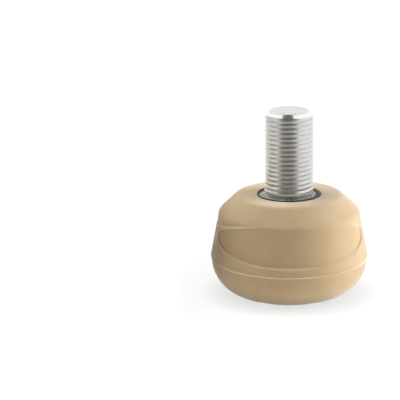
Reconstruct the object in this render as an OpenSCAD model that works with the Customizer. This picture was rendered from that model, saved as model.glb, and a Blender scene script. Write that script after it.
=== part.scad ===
// Roller skate toe stop: a rubber brake moulded round the foot of a steel screw stem.
// It stands on its working face with the stem up. The origin is the centre of that face.

/* [Rubber body] */
// Largest diameter, at the sharp lower edge of the wall
body_d = 50.8; // [46:0.2:60]
// Height of the rubber, from the working face to the flat top
body_h = 33; // [31:0.5:40]
// Height of the conical shoulder under the flat top
shoulder_h = 5.6; // [4:0.1:8]
// Width of the conical shoulder, from the wall in to the flat top
shoulder_w = 5.8; // [4:0.1:8]
// Height of the soft bend from the wall into the shoulder, below their corner
bend_h = 0.9; // [0.3:0.1:1.5]
// Soft radius where the shoulder meets the flat top
top_round = 3; // [0.5:0.1:4]
// Flare of the wall from the upright, in degrees
wall_flare = 10.5; // [6:0.5:13]
// Radius of the rounded working edge, which ends at the parting line
bowl_r = 11.8; // [9:0.1:12.5]
// How far the wall's lower edge stands out past the working edge
edge_overhang = 0.3; // [0.1:0.05:1]
// Width of the bevelled ledge at the parting line
ledge_w = 0.3; // [0.1:0.05:0.8]
// Height of the bevelled ledge at the parting line
ledge_h = 0.3; // [0.1:0.05:0.5]
// Height of the band between the parting line and the wall's lower edge, undercut above the ledge
band_h = 0.9; // [0.7:0.1:2]

/* [Belt and panels] */
// Height of the raised belt at the wall's lower edge
belt_t = 0.75; // [0.3:0.05:1.2]
// How far below the bend the belt has run out to nothing
belt_run_out = 0.3; // [0.1:0.1:2]
// How far the belt's top edge drops below the shoulder at the two sides
belt_drop = 4.6; // [2:0.1:7]
// Rise of the belt's top edge towards the front and the back, in degrees
belt_rise = 13.3; // [8:0.1:16]
// Angle round the axis that one oval panel covers, in degrees
panel_span = 152; // [90:1:164]
// Depth of an oval panel below its widest place
panel_low_h = 6.1; // [3:0.1:7]
// Belt left between the wall's lower edge and an oval panel
panel_foot = 2.3; // [1:0.1:4]
// Width of the lip between an oval panel and the belt's top edge, at the two sides
lip_w = 1.9; // [0.6:0.1:3]
// Rise of a panel's top edge towards the front and the back, in degrees
panel_rise = 17; // [12:0.5:20]
// Depth of a panel's floor below the wall that shows above the belt
panel_sink = 0.2; // [0.1:0.05:0.5]
// Turn of the belt and its panels from the front, in degrees
panel_turn = 3; // [-10:1:10]

/* [Working face] */
// Diameter of a relief hole
hole_d = 5.1; // [3:0.1:7]
// Depth of a relief hole from the working face
hole_depth = 12; // [6:0.5:14]
// Rubber left between the relief holes and the stem's tail
hole_roof = 3.8; // [2:0.1:5]
// Distance between neighbouring relief holes
hole_step = 10.15; // [8:0.05:11]
// Diameter of the gate nub at the centre
gate_d = 1.8; // [1:0.1:2.4]
// Width of the dish round the gate nub
dish_w = 0.9; // [0.4:0.1:1.5]
// Depth of the dish round the gate nub
dish_depth = 0.5; // [0.2:0.1:1]
// How far the gate nub stays back from the working face
gate_set = 0.1; // [0.05:0.05:0.15]

/* [Stem] */
// Outside diameter of the stem's thread
stem_d = 15.875; // [12:0.005:18]
// Length of the stem above the rubber
stem_len = 27.6; // [15:0.1:60]
// Width of the chamfer at the stem's end
chamfer_w = 1.85; // [0.5:0.05:3]
// Height of the chamfer at the stem's end
chamfer_h = 1.6; // [0.5:0.1:3]
// Depth of the run-out neck at the foot of the thread
neck_depth = 0.55; // [0.2:0.05:0.8]
// Height of the run-out neck
neck_h = 0.9; // [0.4:0.1:2]
// Width of the seat that the stem has on the collar, round its spigot
seat_w = 2.4; // [1.5:0.1:3.5]
// Width of the riveted tail under the plate, past the spigot
tail_w = 2.2; // [1.2:0.1:3]
// Height of the riveted tail under the plate
tail_h = 2.2; // [1:0.1:3]

/* [Collar and anchor] */
// Width of the collar that shows round the stem
collar_w = 1.75; // [1:0.05:3]
// How far the collar's top lies below the rubber's top
collar_set = 0.3; // [0.1:0.05:1]
// Width of the bonding bead round the collar
bond_w = 0.6; // [0.3:0.05:1]
// Depth of the bonding bead below the collar's top
bond_h = 2; // [1:0.1:4]
// Rubber left between the anchor plate's rim and the wall
plate_cover = 5; // [3:0.1:6]
// Thickness of the anchor plate
plate_t = 3; // [1.5:0.1:5]
// Number of keying holes in the anchor plate
key_count = 6; // [3:1:8]
// Diameter of a keying hole
key_d = 5; // [2:0.1:6]

/* [Hidden] */
$fn = 96;

// Overlap that keeps a cut or a joined shape clear of a shared face
past = 1;
// Share of its length by which a side of a section runs on into the shape that it crosses
run_on = 0.4;
// Rays from the axis through a panel's outline run on past the wall by this factor
ray_reach = 1.6;
// Corners of the outline of one oval panel
panel_sides = 48;
// Relief holes fill a square grid of this many rows, less its four corners
grid_rows = 4;
// Turn of that grid about the axis, in degrees, which sets it cornerwise
grid_turn = 45;

body_r = body_d / 2;
bowl_edge_r = body_r - edge_overhang;
face_r = bowl_edge_r - bowl_r;
part_z = bowl_r;
edge_z = part_z + band_h;
corner_z = body_h - shoulder_h;
bend_z = corner_z - bend_h;
run_out_z = bend_z - belt_run_out;
core_slope = (body_r - belt_t - wall_r(run_out_z)) / (run_out_z - edge_z);
belt_side_z = corner_z - belt_drop;
panel_side_z = belt_side_z - lip_w;
panel_foot_z = edge_z + panel_foot;
panel_mid_z = panel_foot_z + panel_low_h;
panel_high_h = corner_z - panel_foot_z;
stem_r = stem_d / 2;
spigot_r = stem_r - seat_w;
tail_r = spigot_r + tail_w;
collar_r = stem_r + collar_w;
collar_top_z = body_h - collar_set;
plate_z = hole_depth + hole_roof + tail_h;
plate_top_z = plate_z + plate_t;
plate_r = core_r(plate_top_z) - plate_cover;
key_circle_r = (collar_r + plate_r) / 2;
stem_top_z = body_h + stem_len;
bond_r = collar_r + bond_w;
bond_z = collar_top_z - bond_h;
grid_end = (grid_rows - 1) / 2;
// Half section points of the parting line: its ridge, the groove over the ledge and the wall's lower edge
ridge = [bowl_edge_r, part_z];
groove = [bowl_edge_r - ledge_w, part_z + ledge_h];
edge = [body_r, edge_z];

// Radius of the belt's flared wall at height z
function wall_r(z) = body_r - (z - edge_z) * tan(wall_flare);
// Radius of the body under the belt at height z
function core_r(z) = body_r - belt_t - (z - edge_z) * core_slope;

function unit(v) = v / norm(v);
// Half the angle between the lines from p to a and from p to b
function half_angle(p, a, b) = acos(unit(a - p) * unit(b - p)) / 2;
// Point on the line from p towards a where an arc of radius r in the corner at p begins
function arc_end(p, a, b, r) = p + unit(a - p) * r / tan(half_angle(p, a, b));
// Centre of the arc of radius r in the corner at p
function arc_centre(p, a, b, r) = p + unit(unit(a - p) + unit(b - p)) * r / sin(half_angle(p, a, b));
// Point on the line from a through b, a little past b
function beyond(a, b) = b + (b - a) * run_on;

// Half section of the flat face, the rounded working edge and the ledge at the parting line
module bowl_section() {
  ledge_end = beyond(ridge, groove);
  square([face_r, bowl_r]);
  intersection() {
    translate([face_r, bowl_r]) circle(r = bowl_r);
    translate([face_r, 0]) square(bowl_r);
  }
  polygon([[0, part_z], ridge, ledge_end, [0, ledge_end[1]]]);
}

// Half section of the body above the parting line, without the belt
module core_section() {
  foot = [core_r(part_z), part_z];
  bend = [core_r(bend_z), bend_z];
  corner = [core_r(corner_z), corner_z];
  rim = [corner[0] - shoulder_w, body_h];
  middle = [0, body_h];
  bend_round = norm(corner - bend) * tan(half_angle(corner, bend, rim));
  polygon([[0, part_z], foot, bend, arc_end(corner, rim, bend, bend_round),
    arc_end(rim, corner, middle, top_round), arc_end(rim, middle, corner, top_round), middle]);
  translate(arc_centre(corner, bend, rim, bend_round)) circle(r = bend_round);
  translate(arc_centre(rim, corner, middle, top_round)) circle(r = top_round);
}

// Half section of the belt, undercut below the wall's lower edge
module belt_section() {
  inside_r = wall_r(bend_z) - past;
  undercut_end = beyond(edge, groove);
  polygon([[inside_r, undercut_end[1]], undercut_end, edge, [wall_r(bend_z), bend_z], [inside_r, bend_z]]);
}

// Half section of the space outside a panel's floor
module floor_section() {
  polygon([[core_r(edge_z) - panel_sink, edge_z], [body_d, edge_z], [body_d, body_h],
    [core_r(body_h) - panel_sink, body_h]]);
}

// Space below two planes that rise by an angle from height side_z at the sides to the front and the back
module below_rise(side_z, rise) {
  reach = body_d;
  end_z = side_z + reach * tan(rise);
  rotate([90, 0, 90])
    linear_extrude(height = 2 * reach, center = true)
      polygon([[-reach, 0], [reach, 0], [reach, end_z], [0, side_z], [-reach, end_z]]);
}

// Point of a panel's outline on the wall, at turn t of the oval
function panel_point(t) =
  let (
    a = cos(t) * panel_span / 2,
    z = panel_mid_z + sin(t) * (sin(t) < 0 ? panel_low_h : panel_high_h),
    r = wall_r(z)
  )
  [r * sin(a), -r * cos(a), z];

// Cone of rays from the axis through the outline of one oval panel
module panel_rays() {
  apex = [0, 0, panel_mid_z];
  hub = apex + [0, -ray_reach * body_r, 0];
  rim = [for (i = [0:panel_sides - 1]) apex + ray_reach * (panel_point(360 * i / panel_sides) - apex)];
  sides = [for (i = [0:panel_sides - 1]) [0, i + 2, (i + 1) % panel_sides + 2]];
  base = [for (i = [0:panel_sides - 1]) [1, (i + 1) % panel_sides + 2, i + 2]];
  polyhedron(points = concat([apex, hub], rim), faces = concat(sides, base));
}

// Raised belt round the wall
module belt() {
  intersection() {
    rotate_extrude() belt_section();
    below_rise(belt_side_z, belt_rise);
  }
}

// Oval panels cut through the belt and into the wall, in the front and the back
module panels() {
  intersection() {
    for (side = [0, 180]) rotate(side) panel_rays();
    below_rise(panel_side_z, panel_rise);
    rotate_extrude() floor_section();
  }
}

// The twelve relief holes, on a square grid set cornerwise
module relief_holes() {
  for (i = [-grid_end:grid_end], j = [-grid_end:grid_end])
    if (abs(i) + abs(j) < 2 * grid_end)
      rotate(grid_turn)
        translate([i * hole_step, j * hole_step, -past]) cylinder(d = hole_d, h = hole_depth + past);
}

// Dish at the centre of the working face, less the gate nub that stands in it
module gate_dish() {
  difference() {
    translate([0, 0, -past]) cylinder(r = gate_d / 2 + dish_w, h = dish_depth + past);
    translate([0, 0, gate_set]) cylinder(d = gate_d, h = dish_depth);
  }
}

// Riveted tail of the stem, domed by a chamfer of half its height
module tail() {
  dome = tail_h / 2;
  rotate_extrude()
    polygon([[0, plate_z - tail_h], [tail_r - dome, plate_z - tail_h], [tail_r, plate_z - dome],
      [tail_r, plate_z], [0, plate_z]]);
}

// Anchor disc with its keying holes, before the spigot's bore
module plate_blank() {
  difference() {
    translate([0, 0, plate_z]) cylinder(r = plate_r, h = plate_t);
    for (i = [0:key_count - 1])
      rotate(360 * i / key_count)
        translate([key_circle_r, 0, plate_z - past]) cylinder(d = key_d, h = plate_t + 2 * past);
  }
}

// Space in the rubber for the collar, the bonding bead, the plate and the tail
module insert_space() {
  plate_blank();
  tail();
  translate([0, 0, plate_top_z]) cylinder(r = collar_r, h = body_h - plate_top_z + past);
  translate([0, 0, bond_z]) cylinder(r = bond_r, h = body_h - bond_z + past);
}

// Beige rubber moulding
module rubber_body() {
  color([0.78, 0.68, 0.52])
    difference() {
      union() {
        rotate_extrude() {
          bowl_section();
          core_section();
        }
        rotate(panel_turn) belt();
      }
      rotate(panel_turn) panels();
      relief_holes();
      gate_dish();
      insert_space();
    }
}

// Plated steel stem: flat end, chamfer, shank, neck, spigot and riveted tail
module threaded_stem() {
  neck_r = stem_r - neck_depth;
  neck_top_z = collar_top_z + neck_h;
  chamfer_z = stem_top_z - chamfer_h;
  color([0.78, 0.79, 0.8])
    union() {
      rotate_extrude()
        polygon([[0, collar_top_z], [neck_r, collar_top_z], [neck_r, neck_top_z],
          [stem_r, neck_top_z + neck_depth], [stem_r, chamfer_z], [stem_r - chamfer_w, stem_top_z],
          [0, stem_top_z]]);
      translate([0, 0, plate_z]) cylinder(r = spigot_r, h = collar_top_z - plate_z);
      tail();
    }
}

// Steel ring between the stem's neck and the anchor plate
module stem_collar() {
  collar_h = collar_top_z - plate_top_z;
  color([0.6, 0.62, 0.65])
    difference() {
      translate([0, 0, plate_top_z]) cylinder(r = collar_r, h = collar_h);
      translate([0, 0, plate_top_z - past]) cylinder(r = spigot_r, h = collar_h + 2 * past);
    }
}

// Steel disc that holds the stem in the rubber
module anchor_plate() {
  color([0.5, 0.5, 0.52])
    difference() {
      plate_blank();
      translate([0, 0, plate_z - past]) cylinder(r = spigot_r, h = plate_t + 2 * past);
    }
}

// Black bead of bonding cement, whose round top stands proud of the rubber
module bond_ring() {
  color([0.08, 0.08, 0.08])
    rotate_extrude() {
      translate([collar_r, bond_z]) square([bond_w, body_h - bond_z]);
      translate([collar_r + bond_w / 2, body_h]) circle(d = bond_w);
    }
}

rubber_body();
threaded_stem();
stem_collar();
anchor_plate();
bond_ring();
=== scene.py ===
import math

import bpy
import numpy as np
from mathutils import Matrix, Vector
from mathutils.geometry import delaunay_2d_cdt


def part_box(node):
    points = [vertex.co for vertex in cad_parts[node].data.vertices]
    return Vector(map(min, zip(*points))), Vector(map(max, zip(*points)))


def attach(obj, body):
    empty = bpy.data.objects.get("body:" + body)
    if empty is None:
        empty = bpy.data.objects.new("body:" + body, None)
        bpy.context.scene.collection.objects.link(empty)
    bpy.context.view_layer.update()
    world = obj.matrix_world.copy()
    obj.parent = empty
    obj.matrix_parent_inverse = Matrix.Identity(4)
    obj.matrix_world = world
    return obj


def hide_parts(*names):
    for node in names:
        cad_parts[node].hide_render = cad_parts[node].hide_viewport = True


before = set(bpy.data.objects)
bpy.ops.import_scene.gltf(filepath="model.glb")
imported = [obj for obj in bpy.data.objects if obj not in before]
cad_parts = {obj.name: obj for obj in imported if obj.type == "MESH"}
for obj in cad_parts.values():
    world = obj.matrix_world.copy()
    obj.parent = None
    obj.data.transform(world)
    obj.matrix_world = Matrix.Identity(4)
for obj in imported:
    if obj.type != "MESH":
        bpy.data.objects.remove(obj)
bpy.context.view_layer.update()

# Lengths are in millimetres and angles in degrees, apart from the stage's lengths, which are in metres.
# MM turns millimetres into metres.
MM = 0.001


def node_size(node):
    """Radius, lowest height and highest height of a solid that stands round the axis."""
    low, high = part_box(node)
    radius = max(high.x, high.y, -low.x, -low.y)
    return radius / MM, low.z / MM, high.z / MM


BODY_R, _, BODY_H = node_size("rubber_body")
STEM_R, TAIL_Z, STEM_TOP = node_size("threaded_stem")
COLLAR_R, PLATE_TOP, COLLAR_TOP = node_size("stem_collar")
PLATE_R, PLATE_Z, _ = node_size("anchor_plate")
BOND_R, BOND_Z, _ = node_size("bond_ring")

# Outline of the rubber body
SHOULDER_H = 5.6
SHOULDER_W = 5.8
BEND_H = 0.9  # soft bend into the shoulder, below the corner of wall and shoulder
TOP_ROUND = 3.0
MOUTH_ROUND = 0.3  # rim of the bore for the collar
WALL_FLARE = 10.5
EDGE_OVERHANG = 0.3  # wall's lower edge, past the bowl below it
EDGE_ROUND = 0.25
BAND_H = 0.9  # from the parting line up to the wall's lower edge
LEDGE_W = 0.12  # undercut over the parting line
LEDGE_H = 0.45
LEDGE_ROUND = 0.1
FLASH_W = 0.18  # ridge of flash on the parting line
FLASH_H = 0.2
FLASH_FOOT = 0.02
FLASH_ROUND = 0.05
RIDGE_HIGHLIGHT_FADE = 0.8  # share of the ridge's painted highlight that is lost where the edges run out
BOWL_R = 11.8  # rounded working edge
BOWL_START = 85  # first point of the bowl under the ridge, as an angle from the flat face

BOWL_EDGE_R = BODY_R - EDGE_OVERHANG
FACE_R = BOWL_EDGE_R - BOWL_R
PART_Z = BOWL_R
EDGE_Z = PART_Z + BAND_H
CORNER_Z = BODY_H - SHOULDER_H
BEND_Z = CORNER_Z - BEND_H

# Raised belt and its two oval panels
BELT_T = 0.75
BELT_RUN_OUT = 0.3
BELT_DROP = 4.6  # from the corner down to the belt's top edge at the sides
BELT_RISE = 13.3  # slope of that edge up to the front and the back
BELT_STEP = 0.45  # width of the step at that edge
SIDE_ROUND = 2.0  # rounding of that edge's dip at the sides
HOLLOW_DEPTH = 0.25  # hollow in the wall over that edge
HOLLOW_H = 1.6
HOLLOW_SIDES = (0.35, 0.75)  # sine of the angle from the front where it starts and where it is full
PANEL_SPAN = 152  # angle round the axis from one end of a panel to the other
PANEL_LOW_H = 6.1  # from a panel's lowest point up to its ends
PANEL_FOOT = 2.3  # from the wall's lower edge up to a panel's lowest point
PANEL_TURN = 3  # turn of the panels from the front
PANEL_RISE = 17  # slope of a panel's top edge up to its middle
PANEL_SINK = 0.2  # panel's floor, below the wall that shows over the belt
PANEL_CORNER = 1.6
PANEL_STEP = 0.3  # width of the step at a panel's edge
LIP_W = 1.9  # from the belt's top edge down to a panel's, at the sides
SOFT_STEP = 2.2  # width of both steps where they run out
SOFT_FROM = (10, 30)  # angles from a panel's middle over which the edges run out
SOFT_TO = (52, 68)  # angles over which they come back
EDGE_HIGHLIGHT = 0.45  # paleness of the painted highlight along edges
EDGE_HIGHLIGHT_SET = 0.25  # how far past the edge it is greatest
EDGE_HIGHLIGHT_W = 0.22

RUN_OUT_Z = BEND_Z - BELT_RUN_OUT
BELT_SIDE_Z = CORNER_Z - BELT_DROP
PANEL_SIDE_Z = BELT_SIDE_Z - LIP_W
PANEL_MID_Z = EDGE_Z + PANEL_FOOT + PANEL_LOW_H
PANEL_HIGH_H = CORNER_Z - EDGE_Z - PANEL_FOOT

# Working face
HOLE_R = 2.55
HOLE_DEPTH = 12.0
HOLE_STEP = 10.15
HOLE_TURN = 45
HOLE_ROUND = 0.3
HOLE_END_ROUND = 0.8
GRID_ROWS = 4
GATE_R = 0.9
GATE_SET = 0.1  # top of the gate nub, inside the working face
GATE_CROWN = 0.2
GATE_EDGE = 0.12
DISH_R = 1.8
DISH_DEPTH = 0.5
DISH_FLAT = 0.35  # level ring of the dish round the nub
CAP_R = 20.0  # edge of the working face's own mesh, out on the bowl

# Stem
PITCH = 1.5
THREAD_DEPTH = 0.45
THREAD_START = 40
CREST_FLAT = 0.06  # rounding at the crest and at the root, as shares of half a pitch
ROOT_FLAT = 0.08
FLANK_FLAT = 0.6  # how straight the flanks are, from 0 to 1
RUN_OUT_H = 2.6
UPPER_WEAR = 0.13  # how much smaller the radius is over the upper part
WEAR_Z = (36.6, 37.6)  # heights between which it gets smaller
CHAMFER_W = 1.85
CHAMFER_H = 1.6
END_ROUND = 0.1
NECK_DEPTH = 0.55
NECK_H = 0.9
SEAT_W = 2.4  # shank, past the spigot below it
TAIL_W = 2.2  # riveted tail, past the spigot

CHAMFER_Z = STEM_TOP - CHAMFER_H
NECK_R = STEM_R - NECK_DEPTH
NECK_TOP = COLLAR_TOP + NECK_H
SPIGOT_R = STEM_R - SEAT_W
TAIL_R = SPIGOT_R + TAIL_W
TAIL_DOME = (PLATE_Z - TAIL_Z) / 2

# Collar and bonding bead
COLLAR_EDGE = 0.1
COLLAR_CROWN = 0.35
BEAD_RISE = 0.25  # how far the bead stands over the rubber's top
BEAD_GAP = 0.02  # between the bead and the rubber round it
BEAD_SINK = 0.02  # bead's inner edge, below the collar's top
BEAD_SHADE_LAP = 0.9  # how far it laps over the collar on the right, widened as painted shade where that side lies in shade
BEAD_SIDES = (0.1, 0.9)  # cosine of the angle from the right where the wider lap starts and where it is full
BEAD_LEAST = 0.03  # how far it laps over elsewhere
BEAD_UNEVEN = 0.05
BEAD_WAVE = 0.12  # share of the rise by which its top is uneven
BEAD_WAVES = ((1.0, 5, 1), (0.7, 9, 2), (0.5, 14, 0))  # height, count and start of each wave

# Fineness of the meshes
BODY_COLUMNS = 640
WALL_STEP = 0.1
BOWL_STEPS = 28
BEND_STEPS = 24
STEM_COLUMNS = 160
THREAD_STEP = 0.07
RING_COLUMNS = 192
HOLE_COLUMNS = 48
HOLE_RINGS = 4
HOLE_END_LEANS = (30, 60, 90)
MOUTH_LEANS = (0, 30, 50, 70, 90)
GATE_STEP = 0.1
BEAD_LEAN = 15
ARC_STEPS = 6
FILL_STEP = 0.6
SAME_PLACE = 1e-7  # places nearer than this are one
TINY = 1e-6  # keeps a division from meeting 0


def smooth(low, high, value):
    """0 below low, 1 above high, and a soft step between them."""
    t = np.clip((value - low) / (high - low), 0, 1)
    return t * t * (3 - 2 * t)


def unit(vector):
    """Vector of length 1 in the same direction."""
    return vector / np.linalg.norm(vector)


def half_angle(before, corner, after):
    """Half of the angle at a corner."""
    return math.acos(unit(before - corner) @ unit(after - corner)) / 2


def fillet(before, corner, after, radius, steps=ARC_STEPS):
    """Points of the arc that rounds a corner, or the corner itself where the radius is 0."""
    if radius == 0:
        return [corner]
    back, on = unit(before - corner), unit(after - corner)
    half = half_angle(before, corner, after)
    centre = corner + unit(back + on) * radius / math.sin(half)
    start = corner + back * radius / math.tan(half) - centre
    first = math.atan2(start[1], start[0])
    sweep = math.copysign(math.pi - 2 * half, on[0] * back[1] - on[1] * back[0])
    turns = [first + sweep * i / steps for i in range(steps + 1)]
    return [centre + radius * np.array([math.cos(t), math.sin(t)]) for t in turns]


def outline(corners):
    """Outline (r, z) through corners (r, z, fillet radius)."""
    places = [np.array(corner[:2]) for corner in corners]
    points = [places[0]]
    for i in range(1, len(corners) - 1):
        points += fillet(places[i - 1], places[i], places[i + 1], corners[i][2])
    return points + [places[-1]]


class Skin:
    """Points and faces of a mesh that is joined ring by ring, with a recess value for each point."""

    def __init__(self):
        self.points = []
        self.faces = []
        self.recess = []

    def add(self, points, recess=None):
        """Adds points and returns their numbers."""
        start = len(self.points)
        self.points.extend(map(tuple, points))
        self.recess.extend([0.0] * len(points) if recess is None else recess)
        return list(range(start, len(self.points)))

    def join(self, ring, other):
        """Joins two closed rings of as many points."""
        for i in range(len(ring)):
            self.faces.append((ring[i - 1], ring[i], other[i], other[i - 1]))

    def close(self, ring, centre):
        """Closes a ring with a fan to one point."""
        hub = self.add([centre])[0]
        for i in range(len(ring)):
            self.faces.append((ring[i - 1], ring[i], hub))

    def turn(self, rings):
        """Adds rings of points one after the other, each joined to the one before, and returns them."""
        added = []
        for ring in rings:
            points, recess = ring if isinstance(ring, tuple) else (ring, None)
            added.append(self.add(points, recess))
            if len(added) > 1:
                self.join(added[-2], added[-1])
        return added


def angles(columns):
    """Angle of each column, in radians."""
    return np.arange(columns) * 2 * math.pi / columns


def circle(r, z, columns):
    """Ring of points; r and z are numbers, or a value for each column."""
    turn = angles(columns)
    return np.stack([r * np.cos(turn), r * np.sin(turn), z + 0 * turn], axis=1)


def make_piece(skin, name, material, slot, *nodes):
    """Object made from a skin, in place of the solids that it stands for."""
    mesh = bpy.data.meshes.new(name)
    mesh.from_pydata([[MM * c for c in point] for point in skin.points], [], skin.faces)
    mesh.attributes.new("recess", "FLOAT", "POINT").data.foreach_set("value", skin.recess)
    mesh.shade_smooth()
    mesh.materials.append(material)
    piece = bpy.data.objects.new(name, mesh)
    bpy.context.scene.collection.objects.link(piece)
    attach(piece, "root")
    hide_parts(*nodes)
    return piece


# Wall of the rubber body

def wall_r(z):
    """Radius of the belt's flared wall."""
    return BODY_R - (z - EDGE_Z) * math.tan(math.radians(WALL_FLARE))


def core_r(z):
    """Radius of the body under the belt."""
    slope = (BODY_R - BELT_T - wall_r(RUN_OUT_Z)) / (RUN_OUT_Z - EDGE_Z)
    return BODY_R - BELT_T - (z - EDGE_Z) * slope


def angles_from_front():
    """Angle of each column from the middle of the front panel, in radians."""
    return angles(BODY_COLUMNS) + math.pi / 2 - math.radians(PANEL_TURN)


def angles_from_panel():
    """Angle of each column from the middle of the nearest panel, in radians."""
    return (angles_from_front() + math.pi / 2) % math.pi - math.pi / 2


def run_out():
    """How far the edges have run out at each column, which they do over the right half of a panel."""
    turn = np.degrees(angles_from_panel())
    return smooth(*SOFT_FROM, turn) * (1 - smooth(*SOFT_TO, turn))


def below_rise(r, z, side_z, rise):
    """How far each column lies below the plane that rises from the sides to the front or the back."""
    rise = math.radians(rise)
    reach = np.sqrt((r * np.cos(angles_from_front())) ** 2 + SIDE_ROUND ** 2)
    return (side_z + reach * math.tan(rise) - z) * math.cos(rise)


def past_oval(r, z):
    """How far each column lies outside the oval of the nearest panel."""
    half_span = math.radians(PANEL_SPAN / 2)
    high = PANEL_HIGH_H if z > PANEL_MID_Z else PANEL_LOW_H
    across, up = angles_from_panel() / half_span, (z - PANEL_MID_Z) / high
    oval = np.hypot(across, up) + TINY
    slope = np.hypot(across / (half_span * r), up / high) / oval + TINY
    return (oval - 1) / slope


def past_panel(r, z):
    """How far each column lies outside the nearest panel: an oval cut at the top, with round corners."""
    side = past_oval(r, z)
    top = -below_rise(r, z, PANEL_SIDE_Z, PANEL_RISE)
    corner = np.hypot(np.maximum(PANEL_CORNER + side, 0), np.maximum(PANEL_CORNER + top, 0))
    return np.minimum(np.maximum(side, top), -PANEL_CORNER) + corner


def edge_step(past_edge, width):
    """Soft step over an edge, wider where the edges run out."""
    half = (width + (SOFT_STEP - width) * run_out()) / 2
    return smooth(-half, half, past_edge)


def along_edge(past_edge):
    """Painted highlight along an edge, most just past it."""
    return EDGE_HIGHLIGHT * np.exp(-((past_edge - EDGE_HIGHLIGHT_SET) / EDGE_HIGHLIGHT_W) ** 2)


def wall_ring(base_r, z):
    """Ring of the wall at height z, with the belt and its panels, and the panels' recess, which paints
    shade into the sunk panels, less than 0 on edges that get a painted highlight."""
    into_belt = below_rise(base_r, z, BELT_SIDE_Z, BELT_RISE)
    out_of_panel = past_panel(base_r, z)
    crisp = 1 - run_out()
    at_side = smooth(*HOLLOW_SIDES, np.abs(np.sin(angles_from_front()))) * crisp
    belt = edge_step(into_belt, BELT_STEP)
    hollow = np.clip(1 + into_belt / HOLLOW_H, 0, 1) ** 2 * at_side
    panel = 1 - edge_step(out_of_panel, PANEL_STEP)
    # Painted highlights along the panels' and the belt's edges.
    edge_highlight = np.maximum(along_edge(out_of_panel) * crisp, along_edge(into_belt) * at_side)
    outside = base_r + max(wall_r(z) - core_r(z), 0) * belt - HOLLOW_DEPTH * hollow * (1 - belt)
    sunk = np.maximum(outside - core_r(z) + PANEL_SINK, 0)
    recess = (panel - edge_highlight) * np.minimum(sunk / PANEL_SINK, 1)
    return circle(outside - sunk * panel, z, BODY_COLUMNS), list(recess)


# Outline of the rubber body

def bowl_point(lean):
    """Point of the rounded working edge, by its angle from the flat face."""
    return (FACE_R + BOWL_R * math.sin(lean), BOWL_R * (1 - math.cos(lean)))


def bend_outline():
    """The soft bend from the shoulder into the wall."""
    corner = np.array([core_r(CORNER_Z), CORNER_Z])
    rim = corner + np.array([-SHOULDER_W, SHOULDER_H])
    bend = np.array([core_r(BEND_Z), BEND_Z])
    radius = np.linalg.norm(corner - bend) * math.tan(half_angle(rim, corner, bend))
    return fillet(rim, corner, bend, radius, BEND_STEPS)


def inner_outline():
    """From the space round the stem's tail up the bore, over the top and down to the bend."""
    return outline([
        (TAIL_R - TAIL_DOME, TAIL_Z, 0),
        (TAIL_R, TAIL_Z + TAIL_DOME, 0),
        (TAIL_R, PLATE_Z, 0),
        (PLATE_R, PLATE_Z, 0),
        (PLATE_R, PLATE_TOP, 0),
        (COLLAR_R, PLATE_TOP, 0),
        (COLLAR_R, BOND_Z, 0),
        (BOND_R, BOND_Z, 0),
        (BOND_R, BODY_H, MOUTH_ROUND),
        (core_r(CORNER_Z) - SHOULDER_W, BODY_H, TOP_ROUND),
        (*bend_outline()[0], 0),
    ])


def lower_outline(start_z):
    """From the foot of the wall round its sharp edge, the parting ledge and the working edge."""
    last = math.asin((CAP_R - FACE_R) / BOWL_R)
    leans = np.linspace(math.radians(BOWL_START), last, BOWL_STEPS)
    corners = [
        (wall_r(start_z), start_z, 0),
        (BODY_R, EDGE_Z, EDGE_ROUND),
        (BOWL_EDGE_R - LEDGE_W, PART_Z + LEDGE_H, LEDGE_ROUND),
        (BOWL_EDGE_R + FLASH_W, PART_Z + FLASH_H, FLASH_ROUND),
        (BOWL_EDGE_R, PART_Z - FLASH_FOOT, FLASH_ROUND),
    ]
    return outline(corners + [(*bowl_point(lean), 0) for lean in leans])


def lower_ring(r, z):
    """Ring below the wall, with a recess down to -1 on the ridge of flash along the parting line, which
    paints a highlight on the ridge.
    """
    on_ridge = PART_Z - FLASH_FOOT < z < PART_Z + LEDGE_H
    # The -1 on the ridge paints it pale as a highlight.
    return circle(r, z, BODY_COLUMNS), list(float(on_ridge) * (RIDGE_HIGHLIGHT_FADE * run_out() - 1))


# Working face of the rubber body

def hole_centres():
    """Centres of the relief holes: a square grid set cornerwise, less its four corners."""
    end = (GRID_ROWS - 1) / 2
    steps = np.arange(GRID_ROWS) - end
    turn = Matrix.Rotation(math.radians(HOLE_TURN), 2)
    return [turn @ Vector((i * HOLE_STEP, j * HOLE_STEP))
            for i in steps for j in steps if abs(i) + abs(j) < 2 * end]


def gate_height(r):
    """How far the gate nub and its dish lie inside the flat of the working face."""
    dish = DISH_DEPTH * (1 - smooth(GATE_R + DISH_FLAT, DISH_R, r))
    nub = GATE_SET + GATE_CROWN * (r / GATE_R) ** 2
    return nub + (dish - nub) * smooth(GATE_R - GATE_EDGE, GATE_R + GATE_EDGE, r)


def face_height(place, centres):
    """Height of the working face over a place, with rounded mouths at the holes and the gate nub."""
    r = place.length
    lean = max(r - FACE_R, 0)
    z = BOWL_R - math.sqrt(BOWL_R ** 2 - lean ** 2)
    for centre in centres:
        inward = HOLE_R + HOLE_ROUND - (place - centre).length
        if inward > 0:
            z += HOLE_ROUND - math.sqrt(max(HOLE_ROUND ** 2 - inward ** 2, 0))
    return z + gate_height(r) if r < DISH_R else z


def face_rings(centres):
    """Rings of places at the holes' mouths, and rings round those mouths and the gate nub."""
    spokes = [Vector((math.cos(t), math.sin(t))) for t in angles(HOLE_COLUMNS)]
    lips = [HOLE_R + HOLE_ROUND * (1 - math.cos(math.radians(lean))) for lean in MOUTH_LEANS]
    gate = np.arange(GATE_STEP, DISH_R + 1.5 * GATE_STEP, GATE_STEP)
    mouths = [[centre + spoke * lips[0] for spoke in spokes] for centre in centres]
    others = [[centre + spoke * lip for spoke in spokes] for centre in centres for lip in lips[1:]]
    others += [[spoke * r for spoke in spokes[::2]] for r in gate]
    return mouths, others


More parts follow.
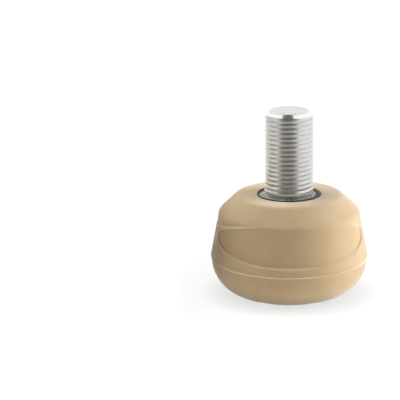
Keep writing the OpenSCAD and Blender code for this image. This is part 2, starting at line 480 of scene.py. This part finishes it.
def fill_places(centres):
    """Evenly spread places between the rings of the working face."""
    count = int(CAP_R / FILL_STEP) + 1
    keep = []
    for row in range(-count, count + 1):
        for column in range(-count, count + 1):
            place = Vector((column + row % 2 / 2, row * math.sqrt(3) / 2)) * FILL_STEP
            clear = all((place - c).length > HOLE_R + HOLE_ROUND + FILL_STEP / 2 for c in centres)
            if clear and DISH_R + FILL_STEP / 2 < place.length < CAP_R - FILL_STEP / 2:
                keep.append(place)
    return keep


def add_face(skin, rim):
    """Closes the body with the working face, pierced by the relief holes."""
    centres = hole_centres()
    mouths, others = face_rings(centres)
    places = [Vector(skin.points[i][:2]) for i in rim]
    loops = [list(range(len(rim)))]
    for mouth in mouths:
        loops.append(list(range(len(places), len(places) + len(mouth))))
        places += mouth
    for ring in others:
        places += ring
    places += fill_places(centres) + [Vector((0, 0))]
    edges = [(loop[i - 1], loop[i]) for loop in loops for i in range(len(loop))]
    flat, _, faces, origins, _, _ = delaunay_2d_cdt(places, edges, [], 0, SAME_PLACE)
    number = {}
    for i, place in enumerate(flat):
        source = origins[i][0]
        if source < len(rim):
            number[i] = rim[source]
        else:
            number[i] = skin.add([(*place, face_height(place, centres))])[0]
    made = {origins[i][0]: number[i] for i in number}
    mouth_of = {i: hole for hole, loop in enumerate(loops[1:]) for i in loop}
    for face in faces:
        # A triangle with all its points on one mouth lies in the hole and is left out.
        mouths_met = {mouth_of.get(origins[i][0]) for i in face}
        if mouths_met == {None} or len(mouths_met) > 1:
            skin.faces.append(tuple(number[i] for i in reversed(face)))
    for centre, loop in zip(centres, loops[1:]):
        add_hole(skin, centre, [made[i] for i in loop])


def add_hole(skin, centre, mouth):
    """Wall and blind end of one relief hole, from its mouth in the working face."""
    offset = np.array([centre.x, centre.y, 0])
    lowest = np.array([skin.points[i] for i in mouth])
    ring = mouth
    for step in range(1, HOLE_RINGS + 1):
        level = lowest.copy()
        level[:, 2] += (HOLE_DEPTH - HOLE_END_ROUND - lowest[:, 2]) * step / HOLE_RINGS
        ring = join_next(skin, ring, level)
    for lean in np.radians(HOLE_END_LEANS):
        r = HOLE_R - HOLE_END_ROUND * (1 - math.cos(lean))
        z = HOLE_DEPTH - HOLE_END_ROUND * (1 - math.sin(lean))
        ring = join_next(skin, ring, circle(r, z, len(mouth)) + offset)
    skin.close(ring[::-1], (centre.x, centre.y, HOLE_DEPTH))


def join_next(skin, ring, points):
    """Adds a ring that faces the hole's axis, joins it to the one before and returns it."""
    added = skin.add(points)
    skin.join(added, ring)
    return added


def rubber_body(material):
    """The moulded rubber, from the space inside it over the top and down to the working face."""
    skin = Skin()
    foot_z = EDGE_Z + 2 * EDGE_ROUND
    wall = np.arange(BEND_Z - WALL_STEP, foot_z, -WALL_STEP)
    rings = [circle(r, z, BODY_COLUMNS) for r, z in inner_outline()]
    rings += [wall_ring(r, z) for r, z in bend_outline()[1:]]
    rings += [wall_ring(core_r(z), z) for z in wall]
    rings += [lower_ring(r, z) for r, z in lower_outline(foot_z)]
    added = skin.turn(rings[::-1])
    skin.close(added[-1], (0, 0, TAIL_Z))
    add_face(skin, added[0])
    return make_piece(skin, "rubber_brake", material, "rubber", "rubber_body")


# Stem, collar and bonding bead

def thread_ring(z):
    """Ring of the shank at height z, and how deep each column lies in the groove, which paints shade
    there, or -1 on the chamfer, which paints a highlight there.
    """
    along = z / PITCH - (angles(STEM_COLUMNS) - math.radians(THREAD_START)) / (2 * math.pi)
    from_crest = np.abs(2 * (along % 1) - 1)
    rounded = smooth(CREST_FLAT, 1 - ROOT_FLAT, from_crest)
    groove = rounded + FLANK_FLAT * (from_crest - rounded)
    depth = THREAD_DEPTH * smooth(0, RUN_OUT_H, z - NECK_TOP)
    r = STEM_R - UPPER_WEAR * smooth(*WEAR_Z, z) - depth * groove
    chamfer = STEM_R - CHAMFER_W * (z - CHAMFER_Z) / CHAMFER_H
    neck = NECK_R + max(z - NECK_TOP, 0)
    shape = np.minimum(r, min(chamfer, neck))
    # Groove depth for the painted shade in the groove, and -1 for the chamfer's painted highlight.
    finish = np.where(shape < r, -float(chamfer < neck), groove * depth / THREAD_DEPTH)
    return circle(shape, z, STEM_COLUMNS), list(finish)


def threaded_stem(material):
    """The stem, from its riveted tail up the spigot and the threaded shank to its end."""
    skin = Skin()
    tail = outline([
        (TAIL_R - TAIL_DOME, TAIL_Z, 0),
        (TAIL_R, TAIL_Z + TAIL_DOME, 0),
        (TAIL_R, PLATE_Z, 0),
        (SPIGOT_R, PLATE_Z, 0),
        (SPIGOT_R, COLLAR_TOP, 0),
        (NECK_R, COLLAR_TOP, 0),
    ])
    end_r = STEM_R - CHAMFER_W
    end = outline([
        (end_r + END_ROUND * 2, STEM_TOP - END_ROUND * 2 * CHAMFER_H / CHAMFER_W, 0),
        (end_r, STEM_TOP, END_ROUND),
        (end_r / 2, STEM_TOP, 0),
    ])
    shank = np.arange(COLLAR_TOP + THREAD_STEP, end[0][1] - THREAD_STEP / 2, THREAD_STEP)
    rings = [circle(r, z, STEM_COLUMNS) for r, z in tail]
    rings += [thread_ring(z) for z in shank]
    rings += [circle(r, z, STEM_COLUMNS) for r, z in end]
    added = skin.turn(rings)
    skin.close(added[0][::-1], (0, 0, TAIL_Z))
    skin.close(added[-1], (0, 0, STEM_TOP))
    return make_piece(skin, "screw_stem", material, "plated_steel", "threaded_stem")


def stem_collar(material):
    """The collar, whose top rises a little towards the stem."""
    skin = Skin()
    section = outline([
        (SPIGOT_R, PLATE_TOP, 0),
        (COLLAR_R, PLATE_TOP, 0),
        (COLLAR_R, COLLAR_TOP, COLLAR_EDGE),
        (NECK_R, COLLAR_TOP + COLLAR_CROWN, 0),
        (SPIGOT_R, COLLAR_TOP, 0),
    ])
    added = skin.turn([circle(r, z, RING_COLUMNS) for r, z in section])
    skin.join(added[-1], added[0])
    return make_piece(skin, "collar_ring", material, "collar_steel", "stem_collar")


def bonding_bead(material):
    """Bead of cement, a little proud of the rubber, that laps over the collar, more on the right, where
    the extra black is painted shade.
    """
    skin = Skin()
    turn = angles(RING_COLUMNS)
    uneven = sum(height * np.sin(count * turn + start) for height, count, start in BEAD_WAVES)
    # The wider lap on the right is painted shade.
    lap = BEAD_SHADE_LAP * smooth(*BEAD_SIDES, np.cos(turn)) + BEAD_UNEVEN * uneven
    inner = COLLAR_R - np.maximum(lap, BEAD_LEAST)
    outer = BOND_R - BEAD_GAP
    top = BODY_H + BEAD_RISE * (1 + BEAD_WAVE * uneven)
    section = [(COLLAR_R, BOND_Z), (outer, BOND_Z), (outer, BODY_H)]
    for lean in np.radians(np.arange(BEAD_LEAN, 180, BEAD_LEAN)):
        across = (1 + math.cos(lean)) / 2
        low = COLLAR_TOP + (BODY_H - COLLAR_TOP) * across
        section.append((inner + (outer - inner) * across, low + (top - low) * math.sin(lean)))
    section += [(inner, COLLAR_TOP - BEAD_SINK), (COLLAR_R, COLLAR_TOP - COLLAR_EDGE)]
    added = skin.turn([circle(r, z, RING_COLUMNS) for r, z in section])
    skin.join(added[-1], added[0])
    return make_piece(skin, "bonding_bead", material, "bonding_cement", "bond_ring")


# Materials

class Nodes:
    """A node tree, with the steps that the materials, the stage and the world share."""

    MIX_INPUTS = (0, 6, 7)  # places of a mix node's factor and its two colours
    MIX_OUTPUT = 2  # place of the colour that it gives

    def __init__(self, tree):
        self.tree = tree

    def add(self, kind):
        """Adds a node."""
        return self.tree.nodes.new(kind)

    def feed(self, socket, value):
        """Sets a socket, or links it where the value comes from another node."""
        if isinstance(value, bpy.types.NodeSocket):
            self.tree.links.new(value, socket)
        else:
            socket.default_value = value

    def spread(self, value, source, target):
        """Maps one stretch of values to another."""
        node = self.add("ShaderNodeMapRange")
        names = ("Value", "From Min", "From Max", "To Min", "To Max")
        for name, amount in zip(names, (value, *source, *target)):
            self.feed(node.inputs[name], amount)
        return node.outputs["Result"]

    def combine(self, operation, first, second):
        """Number worked out from two numbers."""
        node = self.add("ShaderNodeMath")
        node.operation = operation
        self.feed(node.inputs[0], first)
        self.feed(node.inputs[1], second)
        return node.outputs[0]

    def mix(self, share, first, second):
        """Colour between two colours."""
        node = self.add("ShaderNodeMix")
        node.data_type = "RGBA"
        for place, value in zip(self.MIX_INPUTS, (share, first, second)):
            self.feed(node.inputs[place], value)
        return node.outputs[self.MIX_OUTPUT]

    def seen(self):
        """1 for rays that show the background: straight to the camera, mirrored or through glass."""
        path = self.add("ShaderNodeLightPath").outputs
        mirrored = self.combine("MAXIMUM", path["Is Camera Ray"], path["Is Glossy Ray"])
        return self.combine("MAXIMUM", mirrored, path["Is Transmission Ray"])


class Paint(Nodes):
    """A material with one shader, whose textures are laid out in the object's own space."""

    WAVE_RADIANS = 20  # phase that a wave texture of scale 1 runs through over a unit of length

    def __init__(self, name):
        self.material = bpy.data.materials.new(name)
        self.material.use_nodes = True
        super().__init__(self.material.node_tree)
        self.shader = self.tree.nodes["Principled BSDF"]

    def texture(self, kind):
        """Adds a texture."""
        node = self.add(kind)
        self.feed(node.inputs["Vector"], self.add("ShaderNodeTexCoord").outputs["Object"])
        return node

    def noise(self, size, detail):
        """Noise with grains of about this size, in millimetres."""
        node = self.texture("ShaderNodeTexNoise")
        node.inputs["Scale"].default_value = 1 / (size * MM)
        node.inputs["Detail"].default_value = detail
        return node.outputs["Fac"]

    def rings(self, size):
        """Rings round the axis, this far apart, in millimetres."""
        node = self.texture("ShaderNodeTexWave")
        node.wave_type = "RINGS"
        node.rings_direction = "Z"
        node.inputs["Scale"].default_value = 1 / (size * MM * self.WAVE_RADIANS / (2 * math.pi))
        return node.outputs["Fac"]

    def recess(self):
        """The mesh's own recess values."""
        node = self.add("ShaderNodeAttribute")
        node.attribute_name = "recess"
        return node.outputs["Fac"]

    def bump(self, height, depth, under=None):
        """Fine relief of this depth, in millimetres, on top of another relief if there is one."""
        node = self.add("ShaderNodeBump")
        node.inputs["Distance"].default_value = depth * MM
        self.feed(node.inputs["Height"], height)
        if under is not None:
            self.feed(node.inputs["Normal"], under)
        return node.outputs["Normal"]

    def finish(self, **sockets):
        """Feeds the shader's sockets and returns the material."""
        for name, value in sockets.items():
            self.feed(self.shader.inputs[name.replace("_", " ")], value)
        return self.material


def srgb(red, green, blue):
    """Colour written as on a screen, from 0 to 255, as linear light."""
    def linear(level):
        level /= 255
        return level / 12.92 if level <= 0.04045 else ((level + 0.055) / 1.055) ** 2.4
    return (linear(red), linear(green), linear(blue), 1.0)


RUBBER_DARK = srgb(194, 169, 133)
RUBBER_PALE = srgb(200, 177, 142)
RUBBER_SPECK = srgb(177, 151, 115)
# Painted shade in the sunk panels.
RUBBER_PANEL_SHADE = srgb(183, 156, 120)
# Painted highlight on edges and on the parting line's ridge.
RUBBER_EDGE_HIGHLIGHT = srgb(236, 219, 190)
ZINC_PALE = (0.80, 0.80, 0.79, 1)
ZINC_DARK = (0.70, 0.70, 0.69, 1)
# Painted shade down in the thread's groove.
ZINC_GROOVE_SHADE = (0.42, 0.42, 0.40, 1)
# Painted highlight on the chamfer.
ZINC_CHAMFER_HIGHLIGHT = (0.95, 0.95, 0.94, 1)
COLLAR_DARK = (0.17, 0.18, 0.17, 1)
COLLAR_PALE = (0.62, 0.63, 0.60, 1)
PLATE_DARK = (0.28, 0.28, 0.29, 1)
PLATE_PALE = (0.40, 0.40, 0.41, 1)
CEMENT_DARK = (0.010, 0.010, 0.010, 1)
CEMENT_PALE = (0.028, 0.026, 0.024, 1)

# Stretches of values, from the first to the last
FULL = (0, 1)
HIGHLIGHT_AND_CHAMFER = (0, -1)  # recess on edges and on the ridge that get a painted highlight, and on the chamfer
GROOVE_SHADE_RANGE = (0.2, 1)  # recess in the thread's groove, which gets painted shade
MOST_NOISE = (0.3, 0.7)  # most of a noise's values
SPECK_NOISE = (0.58, 0.75)
MOTTLE_NOISE = (0.4, 0.6)
PATCH_NOISE = (0.35, 0.65)
SPECK_SHARE = (0, 0.25)
PANEL_SHADE_SHARE = (0, 0.3)
GROOVE_SHADE_SHARE = (0, 0.3)
RUBBER_ROUGH = (0.52, 0.66)
ZINC_ROUGH = (0.27, 0.34)
CHAMFER_SMOOTHING = (1, 0.55)  # share of the roughness that is left on the chamfer
STEEL_ROUGH = (0.38, 0.6)
CEMENT_ROUGH = (0.4, 0.65)


def gum_rubber():
    """Matt beige rubber with faint clouds and specks, a fine skin, a coarser grain in the panels, painted
    shade in the sunk panels and painted highlights on edges and on the parting line's ridge."""
    paint = Paint("gum_rubber")
    recess = paint.recess()
    clouds = paint.spread(paint.noise(size=7, detail=3), MOST_NOISE, FULL)
    specks = paint.spread(paint.noise(size=0.35, detail=2), SPECK_NOISE, SPECK_SHARE)
    colour = paint.mix(clouds, RUBBER_DARK, RUBBER_PALE)
    colour = paint.mix(specks, colour, RUBBER_SPECK)
    # Painted shade in the sunk panels, darker where they are sunk deeper.
    colour = paint.mix(paint.spread(recess, FULL, PANEL_SHADE_SHARE), colour, RUBBER_PANEL_SHADE)
    # Painted highlight: edges and the ridge of flash are paler.
    colour = paint.mix(paint.spread(recess, HIGHLIGHT_AND_CHAMFER, FULL), colour, RUBBER_EDGE_HIGHLIGHT)
    rough = paint.spread(paint.noise(size=1.2, detail=3), MOST_NOISE, RUBBER_ROUGH)
    skin = paint.bump(paint.noise(size=0.25, detail=3), depth=0.012)
    in_panel = paint.spread(recess, FULL, FULL)
    grain = paint.combine("MULTIPLY", paint.noise(size=0.5, detail=2), in_panel)
    relief = paint.bump(grain, depth=0.05, under=skin)
    return paint.finish(Base_Color=colour, Roughness=rough, Normal=relief, Specular_IOR_Level=0.3,
                        Sheen_Weight=0.45, Sheen_Roughness=0.4)


def zinc_plate():
    """Bright zinc with turning marks, painted shade down in the thread's groove and a painted highlight on
    the chamfer.
    """
    paint = Paint("zinc_plate")
    groove = paint.recess()
    clouds = paint.spread(paint.noise(size=1.5, detail=3), MOST_NOISE, FULL)
    colour = paint.mix(clouds, ZINC_PALE, ZINC_DARK)
    # Painted shade, darker the deeper the groove.
    colour = paint.mix(paint.spread(groove, GROOVE_SHADE_RANGE, GROOVE_SHADE_SHARE), colour, ZINC_GROOVE_SHADE)
    # Painted highlight: the chamfer is paler than the rest of the zinc.
    colour = paint.mix(paint.spread(groove, HIGHLIGHT_AND_CHAMFER, FULL), colour, ZINC_CHAMFER_HIGHLIGHT)
    rough = paint.spread(paint.noise(size=0.4, detail=2), MOST_NOISE, ZINC_ROUGH)
    rough = paint.combine("MULTIPLY", rough, paint.spread(groove, HIGHLIGHT_AND_CHAMFER, CHAMFER_SMOOTHING))
    marks = paint.bump(paint.rings(size=0.35), depth=0.002)
    relief = paint.bump(paint.noise(size=0.5, detail=2), depth=0.006, under=marks)
    return paint.finish(Base_Color=colour, Metallic=1.0, Roughness=rough, Normal=relief)


def dull_steel(name, dark, pale, size):
    """Grey steel with a mottled, slightly rough surface."""
    paint = Paint(name)
    mottle = paint.spread(paint.noise(size=size, detail=4), MOTTLE_NOISE, FULL)
    colour = paint.mix(mottle, dark, pale)
    rough = paint.spread(mottle, FULL, STEEL_ROUGH)
    relief = paint.bump(paint.noise(size=size / 2, detail=3), depth=0.03)
    return paint.finish(Base_Color=colour, Metallic=0.6, Roughness=rough, Normal=relief)


def black_cement():
    """Black bonding cement, uneven and half glossy."""
    paint = Paint("black_cement")
    patches = paint.spread(paint.noise(size=0.8, detail=3), PATCH_NOISE, FULL)
    colour = paint.mix(patches, CEMENT_DARK, CEMENT_PALE)
    rough = paint.spread(patches, FULL, CEMENT_ROUGH)
    relief = paint.bump(paint.noise(size=0.4, detail=3), depth=0.05)
    return paint.finish(Base_Color=colour, Roughness=rough, Normal=relief)


# Stage, light and camera, with lengths in metres

# Floor: its colour as it lights the object and as it is seen, and its own glow, which is less near the
# object as a painted contact shadow
FLOOR_R = 3.0
FLOOR_OPEN_R = 0.028
FLOOR_COLOUR = (0.86, 0.81, 0.73, 1)
FLOOR_SEEN = (0.1, 0.1, 0.1, 1)
FLOOR_LIFT = 0.93
CONTACT_LIFT = 0.68
CONTACT_REACH = 0.008

# Lamps: direction round the axis from the camera's side, elevation, power in watts and width
LAMPS = (
    ("lamp_front_right", 60, 40, 1.4, 0.6),
    ("lamp_right", 90, 12, 9.4, 0.6),
    ("lamp_back_right", 110, 15, 5.7, 0.6),
    ("lamp_back_left", -110, 45, 12.8, 1.6),
    ("lamp_below", 50, -62, 3.6, 0.6),
)
LAMP_H = 0.6
LAMP_REACH = 1.0
LAMP_AIM = Vector((0, 0, 0.03))
WORLD_LIGHT = 0.14

# Flags that only gloss shows: their colours, and their sides as angles from the camera's side
FLAG_R = 1.6
FLAG_STEPS = 24
DARK_FLAG = (0.11, 0.11, 0.11, 1)
DARK_SIDES = (-48, 33)
DARK_TOP = 108
DARK_TAPER = (62, 80)  # elevations between which the dark flag gets narrower
DARK_NARROW = 0.65  # share of its width that it loses
MAT_COLOUR = (0.5, 0.49, 0.47, 1)
MAT_SIDES = (-40, 22)
MAT_R = 0.03
MAT_Z = 0.0005
PALE_FLAG = (0.66, 0.64, 0.58, 1)
PALE_SIDES = (-130, -45)
PALE_H = 1.1
BLACK = (0, 0, 0, 1)
WHITE = (1, 1, 1, 1)

# Card beside the stop: its sides, and its colour as it lights the object and as gloss shows it
CARD_X = -0.042
CARD_Y = (-0.022, 0.06)
CARD_Z = (0.008, 0.048)
CARD_COLOUR = (0.24, 0.20, 0.15, 1)
CARD_SEEN = (0.49, 0.47, 0.43, 1)

# Camera, fitted to the photograph's frame of 400 pixels
IMAGE_PX = 400
SENSOR_W = 36.0  # in millimetres
AXIS_PX = 289.0
FOCAL_PX = 2405.7
CAMERA_DISTANCE = 0.75
CAMERA_HEIGHT = 0.2388
CAMERA_PITCH = 15.5


def direction(turn, rise):
    """Direction by its angle round the axis, from the camera's side, and its elevation."""
    turn, rise = math.radians(turn), math.radians(rise)
    return Vector((math.sin(turn) * math.cos(rise), -math.cos(turn) * math.cos(rise), math.sin(rise)))


def stage_mesh(name, points, faces, material):
    """Thing on the stage, which isn't part of the object."""
    mesh = bpy.data.meshes.new(name)
    mesh.from_pydata(points, [], faces)
    mesh.materials.append(material)
    thing = bpy.data.objects.new(name, mesh)
    bpy.context.scene.collection.objects.link(thing)
    return thing


def floor_material():
    """White floor that keeps soft shadows, and that lets a view from below through to the object."""
    material = bpy.data.materials.new("floor_white")
    material.use_nodes = True
    nodes = Nodes(material.node_tree)
    nodes.tree.nodes.clear()
    seen = nodes.seen()
    diffuse = nodes.add("ShaderNodeBsdfDiffuse")
    nodes.feed(diffuse.inputs["Color"], nodes.mix(seen, FLOOR_COLOUR, FLOOR_SEEN))
    # Painted contact shadow: the floor's glow is dimmer where the object is near.
    contact = nodes.add("ShaderNodeAmbientOcclusion")
    contact.inputs["Distance"].default_value = CONTACT_REACH
    lift = nodes.spread(contact.outputs["AO"], FULL, (CONTACT_LIFT, FLOOR_LIFT))
    glow = nodes.add("ShaderNodeEmission")
    nodes.feed(glow.inputs["Strength"], nodes.combine("MULTIPLY", seen, lift))
    top = nodes.add("ShaderNodeAddShader")
    nodes.feed(top.inputs[0], diffuse.outputs[0])
    nodes.feed(top.inputs[1], glow.outputs[0])
    side = nodes.add("ShaderNodeMixShader")
    nodes.feed(side.inputs[0], nodes.add("ShaderNodeNewGeometry").outputs["Backfacing"])
    nodes.feed(side.inputs[1], top.outputs[0])
    nodes.feed(side.inputs[2], nodes.add("ShaderNodeBsdfTransparent").outputs[0])
    nodes.feed(nodes.add("ShaderNodeOutputMaterial").inputs["Surface"], side.outputs[0])
    return material


def floor_ring(name, inner_r, outer_r, material):
    """Flat ring of the floor."""
    floor = Skin()
    floor.turn([circle(r, 0, RING_COLUMNS) for r in (outer_r, inner_r)])
    return stage_mesh(name, floor.points, floor.faces, material)


def add_floor():
    """Wide floor. Its middle shows, but lets light through, so that the working face is lit from below."""
    material = floor_material()
    floor_ring("floor", FLOOR_OPEN_R, FLOOR_R, material)
    middle = floor_ring("floor_middle", FACE_R * MM, FLOOR_OPEN_R, material)
    middle.visible_diffuse = False
    middle.visible_shadow = False


def add_flag(name, colour, edges):
    """Strip of cloth through pairs of points, which only shows in gloss."""
    material = Paint(name).finish(Base_Color=BLACK, Emission_Color=colour, Emission_Strength=1.0)
    points = [tuple(point) for edge in edges for point in edge]
    faces = [(i, i + 1, i + 3, i + 2) for i in range(0, len(points) - 2, 2)]
    flag = stage_mesh(name, points, faces, material)
    flag.visible_camera = False
    flag.visible_diffuse = False
    flag.visible_shadow = False


def dark_edge(lean):
    """Two sides of the dark flag, which arches from before the stop to over it, at one elevation."""
    sides = np.radians(DARK_SIDES) * (1 - DARK_NARROW * smooth(*DARK_TAPER, lean))
    ahead, up = math.cos(math.radians(lean)), math.sin(math.radians(lean))
    return [Vector((math.sin(side), -math.cos(side) * ahead, math.cos(side) * up)) * FLAG_R
            for side in sides]


def mat_edge(r):
    """Two sides of the mat on the floor, at one distance from the axis."""
    return [direction(side, 0) * r + Vector((0, 0, MAT_Z)) for side in MAT_SIDES]


def pale_edge(turn):
    """Foot and top of the pale flag, at one angle round the axis."""
    foot = direction(turn, 0) * FLAG_R
    return [foot, foot + Vector((0, 0, PALE_H))]


def add_flags():
    """A mat and a dark flag, which give the steel its dark middle, and a pale flag to the left."""
    add_flag("flag_mat", MAT_COLOUR, [mat_edge(r) for r in (MAT_R, FLAG_R)])
    add_flag("flag_dark", DARK_FLAG, [dark_edge(lean) for lean in np.linspace(0, DARK_TOP, FLAG_STEPS)])
    add_flag("flag_pale", PALE_FLAG, [pale_edge(turn) for turn in np.linspace(*PALE_SIDES, FLAG_STEPS)])


def add_card():
    """Low card beside the stop, which keeps the left lamp off the side that is turned from the camera."""
    paint = Paint("card_beige")
    material = paint.finish(Base_Color=paint.mix(paint.seen(), CARD_COLOUR, CARD_SEEN))
    (near, far), (low, high) = CARD_Y, CARD_Z
    points = [(CARD_X, near, low), (CARD_X, far, low), (CARD_X, far, high), (CARD_X, near, high)]
    card = stage_mesh("card", points, [(0, 1, 2, 3)], material)
    card.visible_camera = False


def add_world():
    """White surroundings, dimmer as a light than as a background."""
    world = bpy.data.worlds.new("studio")
    bpy.context.scene.world = world
    world.use_nodes = True
    nodes = Nodes(world.node_tree)
    background = nodes.tree.nodes["Background"]
    background.inputs["Color"].default_value = WHITE
    nodes.feed(background.inputs["Strength"], nodes.spread(nodes.seen(), FULL, (WORLD_LIGHT, 1)))


def add_lamps():
    """Lamps round the stop, which show neither to the camera nor in gloss."""
    for name, turn, rise, power, width in LAMPS:
        away = direction(turn, rise)
        light = bpy.data.lights.new(name, "AREA")
        light.shape = "RECTANGLE"
        light.size = width
        light.size_y = LAMP_H
        light.energy = power
        lamp = bpy.data.objects.new(name, light)
        lamp.location = LAMP_AIM + away * LAMP_REACH
        lamp.rotation_euler = away.to_track_quat("Z", "Y").to_euler()
        lamp.visible_camera = False
        lamp.visible_glossy = False
        bpy.context.scene.collection.objects.link(lamp)


def add_camera():
    """Camera at the photograph's height and pitch, turned so that the axis lands on its column."""
    data = bpy.data.cameras.new("photo_camera")
    data.sensor_width = SENSOR_W
    data.lens = FOCAL_PX / IMAGE_PX * SENSOR_W
    camera = bpy.data.objects.new("photo_camera", data)
    pitch = Matrix.Rotation(math.radians(90 - CAMERA_PITCH), 4, "X")
    yaw = Matrix.Rotation(math.atan((AXIS_PX - IMAGE_PX / 2) / FOCAL_PX), 4, "Y")
    camera.matrix_world = Matrix.Translation((0, -CAMERA_DISTANCE, CAMERA_HEIGHT)) @ pitch @ yaw
    bpy.context.scene.collection.objects.link(camera)
    bpy.context.scene.camera = camera


bpy.context.scene.view_settings.view_transform = "Standard"
rubber_body(gum_rubber())
threaded_stem(zinc_plate())
stem_collar(dull_steel("collar_grey", COLLAR_DARK, COLLAR_PALE, size=0.9))
bonding_bead(black_cement())
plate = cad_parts["anchor_plate"]
plate.data.materials[0] = dull_steel("plate_grey", PLATE_DARK, PLATE_PALE, size=1.5)
add_floor()
add_flags()
add_card()
add_world()
add_lamps()
add_camera()

bpy.context.view_layer.update()
